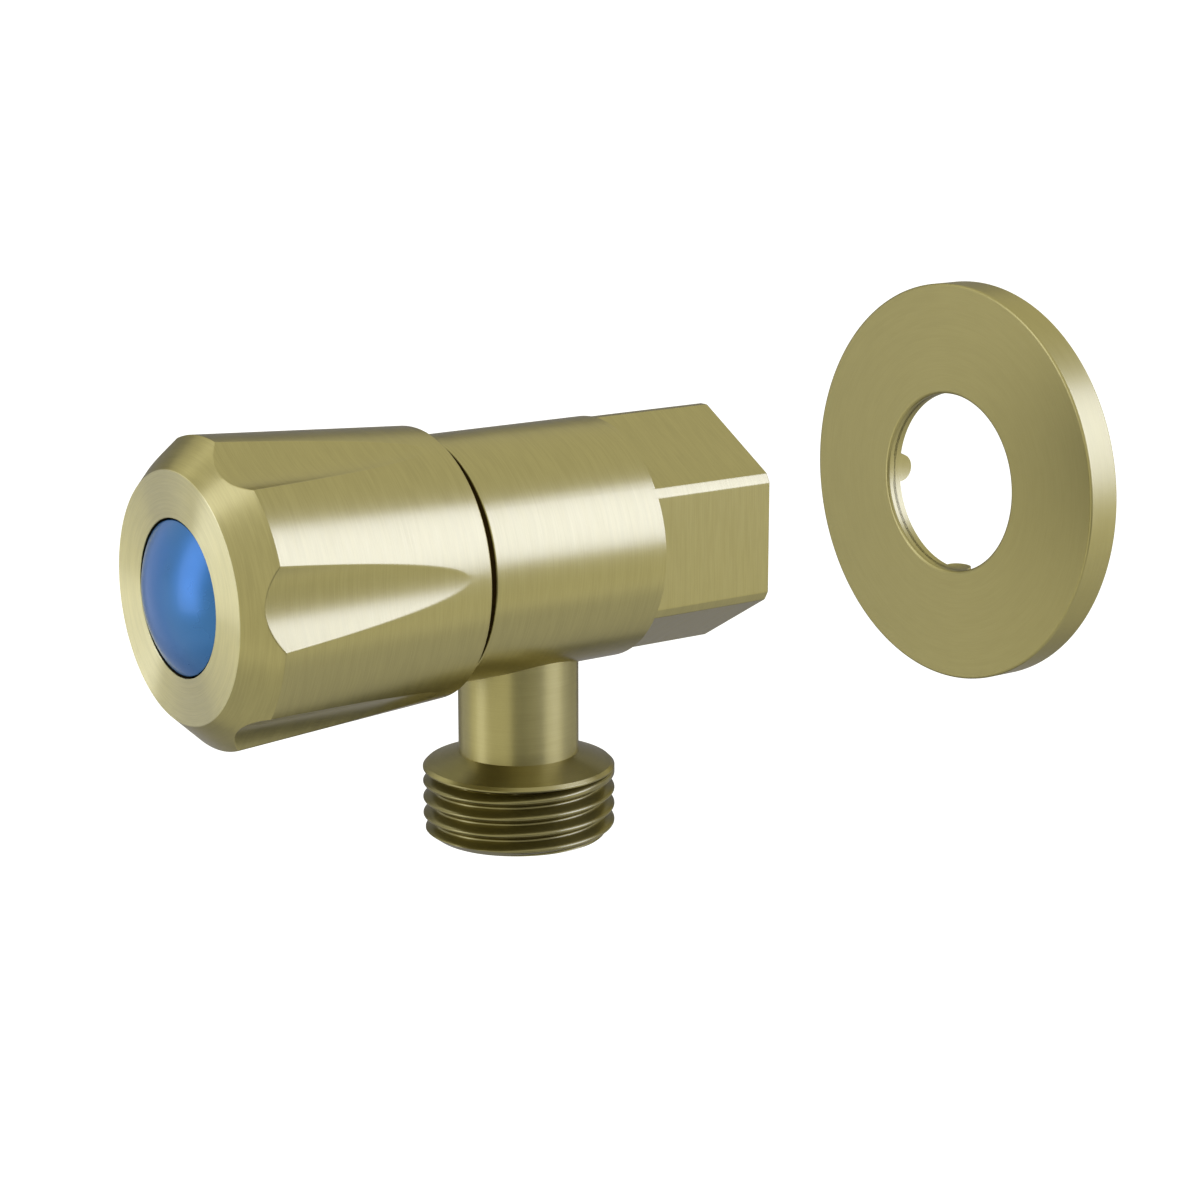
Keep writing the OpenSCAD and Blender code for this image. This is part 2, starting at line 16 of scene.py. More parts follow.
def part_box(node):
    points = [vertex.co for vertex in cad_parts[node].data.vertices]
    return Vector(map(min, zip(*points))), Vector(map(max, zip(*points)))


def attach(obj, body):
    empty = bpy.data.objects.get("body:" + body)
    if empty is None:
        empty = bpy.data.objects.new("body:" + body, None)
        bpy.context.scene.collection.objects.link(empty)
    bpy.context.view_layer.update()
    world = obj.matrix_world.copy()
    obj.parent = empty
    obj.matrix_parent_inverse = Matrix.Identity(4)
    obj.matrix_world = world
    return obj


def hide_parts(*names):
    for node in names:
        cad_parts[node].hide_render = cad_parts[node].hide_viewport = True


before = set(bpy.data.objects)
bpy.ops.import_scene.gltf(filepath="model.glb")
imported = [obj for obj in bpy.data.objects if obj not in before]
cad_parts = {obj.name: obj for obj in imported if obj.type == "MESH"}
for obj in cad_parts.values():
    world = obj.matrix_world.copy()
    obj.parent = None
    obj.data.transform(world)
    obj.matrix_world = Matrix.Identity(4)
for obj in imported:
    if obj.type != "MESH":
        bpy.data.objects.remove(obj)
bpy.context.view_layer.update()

bl_info = {
    "name": "Cistern tap looks",
    "version": (1, 0, 0),
    "blender": (4, 5, 0),
    "location": "View3D > Sidebar > Cistern tap",
    "description": "Builds the skins, finishes and studio of a quarter-turn cistern tap",
    "category": "Add Mesh",
}

MM = 0.001
body_low, body_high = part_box("valve_body")
knob_low, knob_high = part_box("knob")
button_low, button_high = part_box("index_button")
plate_low, plate_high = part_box("cover_plate")


def length(name, description, default):
    """A property for a length in metres."""
    return bpy.props.FloatProperty(
        name=name, description=description, default=default, min=0.0, precision=5, unit="LENGTH")


def share(name, description, default):
    """A property for a number from 0 to 1."""
    return bpy.props.FloatProperty(
        name=name, description=description, default=default, min=0.0, max=1.0, subtype="FACTOR")


def colour(name, description, default):
    """A property for a colour."""
    return bpy.props.FloatVectorProperty(
        name=name, description=description, default=default, min=0.0, max=4.0, size=3, subtype="COLOR")


def angle(name, description, default):
    """A property for an angle given in degrees."""
    return bpy.props.FloatProperty(
        name=name, description=description, default=math.radians(default), subtype="ANGLE")


class TapThreadSizes(bpy.types.PropertyGroup):
    """Sizes of the half-inch pipe thread on the outlet and in the inlet."""

    major_radius: length("Major radius", "Radius of the outlet thread's crests", 10.4775 * MM)
    minor_radius: length("Minor radius", "Radius of the outlet thread's roots", 9.3155 * MM)
    pitch: length("Pitch", "Rise of the thread in one turn, 14 turns to the inch", 1.814 * MM)
    rounding: length("Rounding", "How far crests and roots are rounded", 0.26 * MM)
    crest_drop: length("Crest drop", "Drop of a crest on the side that faces the camera", 27.22 * MM)
    runout: length("Run-out", "Height over which the first groove reaches its depth", 0.6 * MM)
    inlet_length: length("Inlet length", "Length of thread in the inlet socket", 11.0 * MM)


class TapBodySizes(bpy.types.PropertyGroup):
    """Sizes of the turned and milled body."""

    barrel_radius: length("Barrel radius", "Radius of the turned barrel", body_high.z)
    barrel_length: length("Barrel length", "Length from the inlet mouth to the front edge", -body_low.y)
    flat_distance: length("Flat distance", "Distance from the axis to each spanner flat", 11.7 * MM)
    flat_length: length("Flat length", "Length of the spanner flats", 15.2 * MM)
    edge_radius: length("Edge radius", "Rounding of the body's outer edges", 0.15 * MM)
    milled_edge: length("Milled edge", "Softness of the edges beside the flats", 0.06 * MM)
    mouth_bevel: length("Mouth bevel", "Lead-in at the inlet mouth", 0.4 * MM)
    waterway_radius: length("Waterway radius", "Radius of the bore behind the inlet socket", 5.5 * MM)
    drill_cone: length("Drill cone", "Length of the cone at the bottom of the socket", 1.5 * MM)
    seat_station: length("Seat station", "Station of the seat for the cartridge", 17.5 * MM)
    chamber_radius: length("Chamber radius", "Radius of the chamber round the cartridge", 9.2 * MM)
    chamber_end: length("Chamber end", "Station where the front thread starts", 29.6 * MM)
    front_bore_radius: length("Front bore radius", "Radius of the front thread", 9.8965 * MM)
    ring_groove_radius: length("Ring groove radius", "Radius of the recess for the rubber ring", 11.0155 * MM)
    ring_groove_depth: length("Ring groove depth", "Depth of the recess for the rubber ring", 1.5 * MM)
    outlet_station: length("Outlet station", "Station of the outlet's axis", 25.3 * MM)
    neck_radius: length("Neck radius", "Radius of the plain neck", 6.55 * MM)
    neck_root: length("Neck root", "Drop where the neck starts inside the barrel's wall", 10.3 * MM)
    shoulder_drop: length("Shoulder drop", "Drop of the top of the sloping shoulder", 22.5 * MM)
    shoulder_fall: length("Shoulder fall", "Height of the sloping shoulder", 1.3 * MM)
    shoulder_bevel: length("Shoulder bevel", "Bevel between the shoulder and the thread", 0.35 * MM)
    outlet_drop: length("Outlet drop", "Drop of the outlet's end face", -body_low.z)
    outlet_taper: length("Outlet taper", "Height of the taper at the thread's end", 0.8 * MM)
    outlet_end_radius: length("Outlet end radius", "Radius at the thread's end", 9.397 * MM)
    outlet_bore_radius: length("Outlet bore radius", "Radius of the outlet's bore", 4.0 * MM)


class TapKnobSizes(bpy.types.PropertyGroup):
    """Sizes of the fluted knob."""

    rear_station: length("Rear station", "Station of the knob's rear edge", -knob_high.y)
    rear_radius: length("Rear radius", "Radius at the rear edge", 14.4 * MM)
    rim_station: length("Rim station", "Station of the widest rim", 62.55 * MM)
    rim_radius: length("Rim radius", "Radius of the widest rim", knob_high.z)
    face_station: length("Face station", "Station of the flat front face", -knob_low.y)
    face_radius: length("Face radius", "Radius of the flat front face", 12.8 * MM)
    rear_edge: length("Rear edge", "Rounding of the rear edge", 0.2 * MM)
    rim_edge: length("Rim edge", "Rounding of the rim", 0.12 * MM)
    face_edge: length("Face edge", "Rounding of the edge round the face", 0.14 * MM)
    flute_edge: length("Flute edge", "Softness of the edges of the flutes", 0.09 * MM)
    flute_cutter: length("Flute cutter", "Radius of the round cutter that makes a flute", 11.0 * MM)
    flute_floor: length("Flute floor", "Distance from the axis to the bottom of a flute", 14.57 * MM)
    flute_count: bpy.props.IntProperty(
        name="Flutes", description="Number of grip flutes", default=6, min=3, max=12)
    flute_turn: angle("Flute turn", "Turn of the flutes about the axis with the tap shut", 5.0)
    cavity_radius: length("Cavity radius", "Radius of the hollow behind the knob", 12.5 * MM)
    cavity_station: length("Cavity station", "Station of the hollow's floor", 55.0 * MM)
    hub_radius: length("Hub radius", "Radius of the hub inside the knob", 8.0 * MM)
    hub_station: length("Hub station", "Station of the hub's rear end", 47.8 * MM)
    hub_bore: length("Hub bore", "Radius of the hub's bore", 6.25 * MM)
    web_station: length("Web station", "Station of the rear of the web that the screw clamps", 56.0 * MM)
    screw_station: length("Screw station", "Station of the screw's seat", 58.5 * MM)
    screw_hole: length("Screw hole", "Radius of the screw's hole", 2.25 * MM)
    snap_bore: length("Snap bore", "Radius of the bore for the button's legs", 6.6 * MM)
    button_station: length("Button station", "Station of the step under the button's rim", 64.2 * MM)
    recess_radius: length("Recess radius", "Radius of the recess round the button", 8.05 * MM)


class TapButtonSizes(bpy.types.PropertyGroup):
    """Sizes of the domed index button."""

    rim_radius: length("Rim radius", "Radius of the button's rim", button_high.x)
    crown_station: length("Crown station", "Station of the top of the dome", -button_low.y)
    rim_station: length("Rim station", "Station where the dome starts", 65.75 * MM)
    rim_edge: length("Rim edge", "Rounding of the button's rim", 0.12 * MM)
    leg_radius: length("Leg radius", "Outer radius of the snap legs", 6.5 * MM)
    leg_wall: length("Leg wall", "Thickness of the snap legs", 0.9 * MM)
    leg_station: length("Leg station", "Station of the ends of the legs", -button_high.y)
    leg_slot: length("Leg slot", "Width of the slots between the legs", 3.0 * MM)


class TapPlateSizes(bpy.types.PropertyGroup):
    """Sizes of the pressed cover plate. Depths are counted from its front, towards the wall."""

    outer_radius: length("Outer radius", "Radius of the plate", plate_high.x)
    front: length("Front", "Distance from the inlet mouth to the plate's front", plate_low.y)
    rim_depth: length("Rim depth", "Depth of the turned-back rim", 4.1 * MM)
    sheet: length("Sheet", "Thickness of the sheet", 1.0 * MM)
    rim_edge: length("Rim edge", "Rounding between the front and the rim", 0.3 * MM)
    hole_radius: length("Hole radius", "Radius of the hole for the pipe", 10.725 * MM)
    fold_radius: length("Fold radius", "Rounding at the front of the hole", 0.4 * MM)
    collar_depth: length("Collar depth", "Depth of the collar round the hole", 1.95 * MM)
    tongue_radius: length("Tongue radius", "Radius of each half-round tongue", 1.7 * MM)
    tongue_set: length("Tongue set", "How far the tip of a tongue is bent inwards", 0.2 * MM)
    tongue_count: bpy.props.IntProperty(
        name="Tongues", description="Number of grip tongues", default=4, min=2, max=8)


class TapFinish(bpy.types.PropertyGroup):
    """Colours and surface of the finishes."""

    brass: colour("Brushed brass", "Olive-gold colour of the brushed outside", (0.325, 0.283, 0.100))
    # A painted sheen: the knob's face is lifted lighter than the brushed brass to stand in for the bright
    # wedges that its brushing reflects.
    face_brass_with_painted_sheen: colour("Cut brass", "Lighter colour of the fresh cut on the knob's face", (0.60, 0.55, 0.27))
    plain_brass: colour("Turned brass", "Colour of the bare brass inside", (0.60, 0.44, 0.17))
    button: colour("Button", "Blue of the index button", (0.018, 0.128, 0.30))
    # A painted shade: the thread's brass is darkened to stand in for the shade deep in its grooves.
    thread_painted_shade: share("Thread tone", "How dark the unbrushed thread is beside the brushed brass", 0.62)
    # A painted shade: near-black brass in the knob's hollow and on the barrel's front end, so that the gap
    # between knob and barrel reads dark.
    dull_brass: colour("Dull brass", "Colour of the raw brass in the knob's hollow", (0.09, 0.065, 0.025))
    rubber: colour("Rubber", "Colour of the seals", (0.018, 0.018, 0.020))
    nylon: colour("Nylon", "Colour of the plastic washers and bush", (0.74, 0.73, 0.66))
    ceramic: colour("Ceramic", "Colour of the discs", (0.84, 0.82, 0.76))
    steel: colour("Steel", "Colour of the screw, washers and circlip", (0.46, 0.47, 0.48))
    edge: colour("Edge tint", "Tint of the brass where it is seen at a low angle", (0.80, 0.75, 0.54))
    roughness: share("Roughness", "Roughness of the brushed brass", 0.34)
    face_roughness: share("Face roughness", "Roughness of the fresh cut on the knob's face", 0.40)
    lacquer: share("Lacquer", "Strength of the clear lacquer over the brass", 0.28)
    grain: share("Grain", "Strength of the brushing lines", 0.5)


class TapStage(bpy.types.PropertyGroup):
    """Camera, light and floor."""

    camera_place: bpy.props.FloatVectorProperty(
        name="Camera place", description="Where the camera stands", default=(0.240557, -0.18768, 0.063241),
        size=3, subtype="TRANSLATION", unit="LENGTH")
    camera_yaw: angle("Camera yaw", "Turn of the view from +Y towards -X", 54.226)
    camera_pitch: angle("Camera pitch", "How far the camera looks down", 13.385)
    lens: bpy.props.FloatProperty(
        name="Lens", description="Focal length on a sensor 36 mm wide", default=83.0, unit="CAMERA")
    floor_drop: length("Floor drop", "Distance from the tap's axis down to the floor", 0.5)
    floor_reach: length("Floor reach", "Half the width of the floor", 30.0)
    floor_colour: colour("Floor", "Colour of the pale floor", (0.62, 0.615, 0.55))
    fade_start: length("Fade start", "How far from its middle the floor starts to fade to white", 0.62)
    fade_end: length("Fade end", "How far from its middle the floor has faded to white", 0.80)
    near_glow: share("Near glow", "White that is added to the floor under the tap", 0.2)
    far_glow: share("Far glow", "White that is added to the floor away from the tap", 0.75)
    room_level: share("Room level", "Strength of the room's plain light", 0.75)


def sizes():
    """The sizes of the thread and of the body."""
    scene = bpy.context.scene
    return scene.tap_thread, scene.tap_body


def soft_min(a, b, softness):
    """The smaller of two values, with a rounded passage between them."""
    mix = np.clip(0.5 + 0.5 * (b - a) / softness, 0.0, 1.0)
    return b * (1 - mix) + a * mix - softness * mix * (1 - mix)


def soft_max(a, b, softness):
    """The larger of two values, with a rounded passage between them."""
    return -soft_min(-a, -b, softness)


def smooth_step(low, high, value):
    """Rises smoothly from 0 at low to 1 at high."""
    t = np.clip((value - low) / (high - low), 0.0, 1.0)
    return t * t * (3 - 2 * t)


def rounded(corners, steps=4, support=0.04 * MM):
    """The points of a closed outline whose corners (r, s, radius) are arcs, each with a point close to it
    on both sides, so that flat stretches shade flat."""
    points = []
    count = len(corners)
    for i in range(count):
        here = Vector(corners[i][:2])
        radius = corners[i][2]
        if not radius:
            points.append((here.x, here.y))
            continue
        before = (Vector(corners[i - 1][:2]) - here).normalized()
        after = (Vector(corners[(i + 1) % count][:2]) - here).normalized()
        half = before.angle(after) / 2
        reach = radius / math.tan(half)
        centre = here + (before + after).normalized() * radius / math.sin(half)
        start = here + before * reach - centre
        end = here + after * reach - centre
        sweep = start.angle_signed(end)
        points.append(tuple(here + before * (reach + support)))
        for step in range(steps + 1):
            turn = Matrix.Rotation(-sweep * step / steps, 2)
            points.append(tuple(centre + turn @ start))
        points.append(tuple(here + after * (reach + support)))
    return points


def refined(points, spacing):
    """The same closed outline with no gap longer than spacing(r, s)."""
    fine = []
    for i, start in enumerate(points):
        end = points[(i + 1) % len(points)]
        gap = math.dist(start, end)
        middle = ((start[0] + end[0]) / 2, (start[1] + end[1]) / 2)
        parts = max(1, math.ceil(gap / spacing(*middle)))
        fine += [(start[0] + (end[0] - start[0]) * k / parts, start[1] + (end[1] - start[1]) * k / parts)
                 for k in range(parts)]
    return fine


def open_outline(corners, steps=4):
    """Rounded points of an outline that stay close together, up to the corner before its last one."""
    points = rounded(corners, steps)[:-1]
    fine = refined(points, lambda r, s: 1.5 * MM)
    return fine[:fine.index(points[-1]) + 1]


def along_tap(radius, turn, station):
    """Points of the tap's own lathe: turn counts from +X towards +Z."""
    radius, turn, station = np.broadcast_arrays(radius, turn, station)
    return np.stack([radius * np.cos(turn), -station, radius * np.sin(turn)], axis=-1)


def along_outlet(radius, turn, drop):
    """Points of the outlet's lathe: turn counts from +X towards +Y."""
    outlet_station = bpy.context.scene.tap_body.outlet_station
    radius, turn, drop = np.broadcast_arrays(radius, turn, drop)
    return np.stack([radius * np.cos(turn), radius * np.sin(turn) - outlet_station, -drop], axis=-1)


def add_object(name, data):
    """A new object in the scene."""
    thing = bpy.data.objects.new(name, data)
    bpy.context.scene.collection.objects.link(thing)
    return thing


def grid_piece(name, rows, closed=True, whole_turn=False):
    """A mesh object from rows of points round an axis. A closed one joins its last row to its first, and
    rows that cover the whole turn end where they began."""
    grid = np.asarray(rows, float)
    row_count, column_count = grid.shape[:2]
    mesh = bpy.data.meshes.new(name)
    faces = []
    for i in range(row_count if closed else row_count - 1):
        below = (i + 1) % row_count
        for j in range(column_count - 1 if whole_turn else column_count):
            beside = (j + 1) % column_count
            faces.append((i * column_count + j, i * column_count + beside,
                          below * column_count + beside, below * column_count + j))
    mesh.from_pydata(grid.reshape(-1, 3).tolist(), [], faces)
    work = bmesh.new()
    work.from_mesh(mesh)
    bmesh.ops.remove_doubles(work, verts=work.verts, dist=0.0005 * MM)
    bmesh.ops.dissolve_degenerate(work, edges=work.edges, dist=0.0002 * MM)
    bmesh.ops.recalc_face_normals(work, faces=work.faces)
    work.to_mesh(mesh)
    work.free()
    return add_object(name, mesh)


def block(name, low, high):
    """A box used as a cutter."""
    x0, y0, z0 = low
    x1, y1, z1 = high
    ring = [(x0, y0), (x1, y0), (x1, y1), (x0, y1)]
    corners = [(x, y, z) for z in (z0, z1) for x, y in ring]
    sides = [(i, (i + 1) % 4, 4 + (i + 1) % 4, 4 + i) for i in range(4)]
    mesh = bpy.data.meshes.new(name)
    mesh.from_pydata(corners, [], [(3, 2, 1, 0), (4, 5, 6, 7)] + sides)
    return add_object(name, mesh)


def carve(piece, operation, tool):
    """Joins the tool to a piece or cuts it out of it, and removes the tool."""
    modifier = piece.modifiers.new("carve", "BOOLEAN")
    modifier.operation = operation
    modifier.solver = "MANIFOLD"
    modifier.object = tool
    bpy.context.view_layer.update()
    result = bpy.data.meshes.new_from_object(piece.evaluated_get(bpy.context.evaluated_depsgraph_get()))
    piece.modifiers.clear()
    old = piece.data
    piece.data = result
    bpy.data.meshes.remove(old)
    tool_mesh = tool.data
    bpy.data.objects.remove(tool)
    bpy.data.meshes.remove(tool_mesh)


def check_closed(piece):
    """Stops the script if the piece's mesh has an open or shared edge."""
    work = bmesh.new()
    work.from_mesh(piece.data)
    loose = sum(1 for edge in work.edges if len(edge.link_faces) != 2)
    work.free()
    if loose:
        raise RuntimeError(f"{piece.name}: {loose} edges don't have two faces")


def dress(piece, node, body, slot, *finishes):
    """Shades a finished piece, gives it its finishes and puts it in the place of a CAD node."""
    crease = math.radians(34)
    piece.data.materials.clear()
    for name in finishes:
        piece.data.materials.append(bpy.data.materials[name])
    piece.data.shade_smooth()
    piece.data.set_sharp_from_angle(angle=crease)
    check_closed(piece)
    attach(piece, body)
    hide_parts(node)


class Shader:
    """A material's or a node group's tree, with short calls that make, set and link its nodes."""

    def __init__(self, tree):
        self.tree = tree

    def node(self, kind, **values):
        made = self.tree.nodes.new(kind)
        for name, value in values.items():
            setattr(made, name, value)
        return made

    def feed(self, node, values):
        """Links inputs of a node to outputs of others, or sets them to plain values."""
        for place, value in values.items():
            if isinstance(value, bpy.types.NodeSocket):
                self.tree.links.new(value, node.inputs[place])
            else:
                node.inputs[place].default_value = value

    def math(self, operation, *items):
        made = self.node("ShaderNodeMath", operation=operation)
        self.feed(made, dict(enumerate(items)))
        return made.outputs[0]

    def vector(self, operation, *items):
        made = self.node("ShaderNodeVectorMath", operation=operation)
        self.feed(made, dict(enumerate(items)))
        return made.outputs["Value" if operation in ("DOT_PRODUCT", "LENGTH") else "Vector"]

    def scaled(self, vector, factor):
        made = self.node("ShaderNodeVectorMath", operation="SCALE")
        self.feed(made, {0: vector, "Scale": factor})
        return made.outputs[0]

    def ramp(self, value, low, high, to_low, to_high):
        made = self.node("ShaderNodeMapRange", interpolation_type="SMOOTHSTEP")
        self.feed(made, dict(enumerate((value, low, high, to_low, to_high))))
        return made.outputs[0]

    def bump(self, height, strength, distance):
        made = self.node("ShaderNodeBump")
        self.feed(made, {"Height": height, "Strength": strength, "Distance": distance})
        return made.outputs["Normal"]

    def group(self, name, values):
        made = self.node("ShaderNodeGroup", node_tree=bpy.data.node_groups[name])
        self.feed(made, values)
        return made.outputs


def new_group(name, inputs, outputs):
    """A shader node group with its sockets, as its tree, what it is given and its output node."""
    group = bpy.data.node_groups.new(name, "ShaderNodeTree")
    for title, kind, default in inputs:
        socket = group.interface.new_socket(title, in_out="INPUT", socket_type=kind)
        if default is not None:
            socket.default_value = default
    for title in outputs:
        group.interface.new_socket(title, in_out="OUTPUT", socket_type="NodeSocketFloat")
    shader = Shader(group)
    return shader, shader.node("NodeGroupInput").outputs, shader.node("NodeGroupOutput")


def brushing_group():
    """Fine lines that run round an axis. Across is the axis, Centre a point on it."""
    shader, given, result = new_group(
        "brushed lines",
        [("Position", "NodeSocketVector", None), ("Facing", "NodeSocketVector", None),
         ("Centre", "NodeSocketVector", None), ("Across", "NodeSocketVector", (0.0, 1.0, 0.0)),
         ("Lines per mm", "NodeSocketFloat", 9.0), ("Line length mm", "NodeSocketFloat", 5.0)],
        ["Lines", "Bands"])
    per_metre = 1 / MM
    across = given["Across"]
    offset = shader.vector("SUBTRACT", given["Position"], given["Centre"])
    along = shader.vector("DOT_PRODUCT", offset, across)
    outwards = shader.vector("SUBTRACT", offset, shader.scaled(across, along))
    end_on = shader.math("ABSOLUTE", shader.vector("DOT_PRODUCT", given["Facing"], across))
    end_face = shader.ramp(end_on, 0.8, 0.9, 0.0, 1.0)
    travel = shader.math("ADD", along, shader.math("MULTIPLY", shader.vector("LENGTH", outwards), end_face))
    spread = shader.scaled(outwards, shader.math("DIVIDE", per_metre, given["Line length mm"]))
    lines = shader.math("MULTIPLY", travel, shader.math("MULTIPLY", per_metre, given["Lines per mm"]))
    for output, thinning, detail in (("Lines", 1.0, 3.0), ("Bands", 0.16, 2.0)):
        lift = shader.scaled(across, shader.math("MULTIPLY", lines, thinning))
        noise = shader.node("ShaderNodeTexNoise")
        place = shader.vector("ADD", spread, lift)
        shader.feed(noise, {"Vector": place, "Scale": 1.0, "Detail": detail, "Roughness": 0.6})
        shader.feed(result, {output: noise.outputs["Fac"]})


def mottle_group():
    """Soft cloudy unevenness of colour and gloss."""
    shader, given, result = new_group(
        "soft mottle",
        [("Position", "NodeSocketVector", None), ("Size mm", "NodeSocketFloat", 4.0)],
        ["Clouds", "Specks"])
    for output, finer in (("Clouds", 1.0), ("Specks", 14.0)):
        noise = shader.node("ShaderNodeTexNoise")
        scale = shader.math("DIVIDE", finer / MM, given["Size mm"])
        shader.feed(noise, {"Vector": given["Position"], "Scale": scale, "Detail": 3.0})
        shader.feed(result, {output: noise.outputs["Fac"]})


def tinted(shader, base, value, spread):
    """A colour that follows a value from a darker to a lighter form of the base."""
    mix = shader.node("ShaderNodeMix", data_type="RGBA")
    darker = (*[c * (1 - spread) for c in base], 1.0)
    lighter = (*[c * (1 + spread) for c in base], 1.0)
    shader.feed(mix, {"Factor": value, "A": darker, "B": lighter})
    return mix.outputs["Result"]


def new_material(name, values):
    """A material's tree and its Principled BSDF, with plain values set."""
    material = bpy.data.materials.new(name)
    material.use_nodes = True
    shader = Shader(material.node_tree)
    surface = material.node_tree.nodes["Principled BSDF"]
    shader.feed(surface, values)
    return shader, surface


def brushed_metal(name, base, roughness, grain, across=(0.0, 1.0, 0.0), centre=(0.0, 0.0, 0.0),
                  lines_per_mm=9.0, anisotropy=0.6, lacquer=0.0, edge=(1.0, 1.0, 1.0)):
    """Metal with fine brushing round an axis. Edge is its tint where it is seen at a low angle."""
    shader, surface = new_material(name, {
        "Metallic": 1.0, "Specular Tint": (*edge, 1.0), "Anisotropic": anisotropy,
        "Anisotropic Rotation": 0.25, "Coat Weight": lacquer, "Coat Roughness": 0.22})
    place = shader.node("ShaderNodeTexCoord").outputs
    lines = shader.group("brushed lines", {
        "Position": place["Object"], "Facing": place["Normal"], "Centre": centre, "Across": across,
        "Lines per mm": lines_per_mm})
    tone = shader.math("ADD", shader.math("MULTIPLY", lines["Lines"], 0.6),
                       shader.math("MULTIPLY", lines["Bands"], 0.4))
    steep = shader.ramp(tone, 0.36, 0.64, 0.0, 1.0)
    smooth, rough = roughness * (1 - 0.1 * grain), roughness * (1 + 0.1 * grain)
    round_axis = shader.vector("CROSS_PRODUCT", across, shader.vector("SUBTRACT", place["Object"], centre))
    to_world = shader.node("ShaderNodeVectorTransform", vector_type="VECTOR",
                           convert_from="OBJECT", convert_to="WORLD")
    shader.feed(to_world, {0: round_axis})
    shader.feed(surface, {
        "Base Color": tinted(shader, base, steep, 0.12 * grain),
        "Roughness": shader.ramp(lines["Bands"], 0.3, 0.7, smooth, rough),
        "Normal": shader.bump(tone, 0.4 * grain, 0.004 * MM),
        "Tangent": to_world.outputs[0]})


def moulded(name, base, roughness, size_mm, uneven, coat=0.0, metallic=0.0, grain=0.15):
    """Plastic, rubber or ceramic with soft unevenness."""
    shader, surface = new_material(name, {
        "Coat Weight": coat, "Coat Roughness": 0.1, "Metallic": metallic})
    place = shader.node("ShaderNodeTexCoord").outputs
    mottle = shader.group("soft mottle", {"Position": place["Object"], "Size mm": size_mm})
    shader.feed(surface, {
        "Base Color": tinted(shader, base, mottle["Clouds"], uneven),
        "Roughness": shader.ramp(mottle["Clouds"], 0.3, 0.7, roughness * 0.85, roughness * 1.15)})
    if grain:
        shader.feed(surface, {"Normal": shader.bump(mottle["Specks"], grain, 0.01 * MM)})


class TAP_OT_finishes(bpy.types.Operator):
    """Makes the node groups and the materials."""

    bl_idname = "tap.finishes"
    bl_label = "Finishes"

    def execute(self, context):
        finish = context.scene.tap_finish
        outlet = (0.0, -context.scene.tap_body.outlet_station, 0.0)
        brushing_group()
        mottle_group()
        brass = tuple(finish.brass)
        # The thread's brass is darkened as a painted shade for its grooves.
        thread = tuple(finish.thread_painted_shade * c for c in brass)
        edge = tuple(finish.edge)
        rough, grain = finish.roughness, finish.grain
        coated = {"lacquer": finish.lacquer, "edge": edge}
        upright = {"across": (0.0, 0.0, 1.0), "centre": outlet, **coated}
        brushed_metal("olive_brass", brass, rough, grain, **coated)
        # The face's lighter brass is a painted sheen for the bright wedges it reflects.
        brushed_metal("olive_brass_face", tuple(finish.face_brass_with_painted_sheen), finish.face_roughness, grain,
                      anisotropy=1.0, **coated)
        brushed_metal("olive_brass_outlet", brass, rough * 1.1, grain * 0.6, **upright)
        brushed_metal("olive_brass_thread", thread, rough * 0.9, grain * 0.4, anisotropy=0.3, **upright)
        brushed_metal("olive_brass_plate", brass, rough * 1.1, grain * 0.5, anisotropy=0.0, edge=edge,
                      lacquer=0.5 * finish.lacquer)
        # Near-black brass that paints shade into the gap behind the knob.
        brushed_metal("dull_brass", tuple(finish.dull_brass), roughness=0.6, grain=0.3, anisotropy=0.0,
                      edge=edge)
        brushed_metal("bare_brass", tuple(finish.plain_brass), roughness=0.24, grain=0.6, lines_per_mm=4.0)
        brushed_metal("satin_steel", tuple(finish.steel), roughness=0.28, grain=0.5, lines_per_mm=5.0)
        moulded("black_rubber", tuple(finish.rubber), roughness=0.5, size_mm=2.0, uneven=0.15)
        moulded("milky_nylon", tuple(finish.nylon), roughness=0.42, size_mm=3.0, uneven=0.04)
        moulded("lapped_ceramic", tuple(finish.ceramic), roughness=0.16, size_mm=3.0, uneven=0.03, coat=0.3)
        moulded("blue_plastic", tuple(finish.button), roughness=0.30, size_mm=5.0, uneven=0.05, coat=0.15,
                metallic=0.5, grain=0.0)
        return {"FINISHED"}


def thread_radius(phase, missing, thread):
    """Radius of an outside thread. Phase is 0 on a crest and half a turn in a root, and missing is the
    depth that the cutter has still to go."""
    sharp = 0.960491 * thread.pitch  # height of the 55 degree triangle that the thread is cut from
    middle = (thread.major_radius + thread.minor_radius) / 2
    flank = middle + sharp / 2 * (1 - 4 * np.abs(phase))
    cut = soft_max(flank, thread.minor_radius, thread.rounding) + missing
    return soft_min(cut, thread.major_radius, thread.rounding)


def nearest_turn(value):
    """The part of a number of turns from -0.5 to 0.5."""
    return value - np.round(value)


def both_sides(half):
    """The angles of a sector, from those of its half that start in its middle."""
    return [-a for a in reversed(half[1:])] + half[:-1]


def flats(columns, distance):
    """Distance from the axis to six flats, at each angle."""
    side = nearest_turn(np.degrees(columns) / 60) * math.radians(60)
    return distance / np.cos(side)


def hexagon_columns():
    """Angles round the barrel, crowded at the edges of the spanner flats. The last ends the turn where the
    first began it."""
    body = bpy.context.scene.tap_body
    edge = math.degrees(math.acos(body.flat_distance / body.barrel_radius))
    flat = list(np.linspace(0, edge - 0.9, 12))
    near = [edge + d for d in (-0.45, -0.24, -0.1, 0.1, 0.24, 0.45)]
    strip = list(np.linspace(edge + 0.9, 30, 4))
    sector = both_sides(flat + near + strip)
    return np.radians([60 * i + a for i in range(6) for a in sector] + [360 + sector[0]])


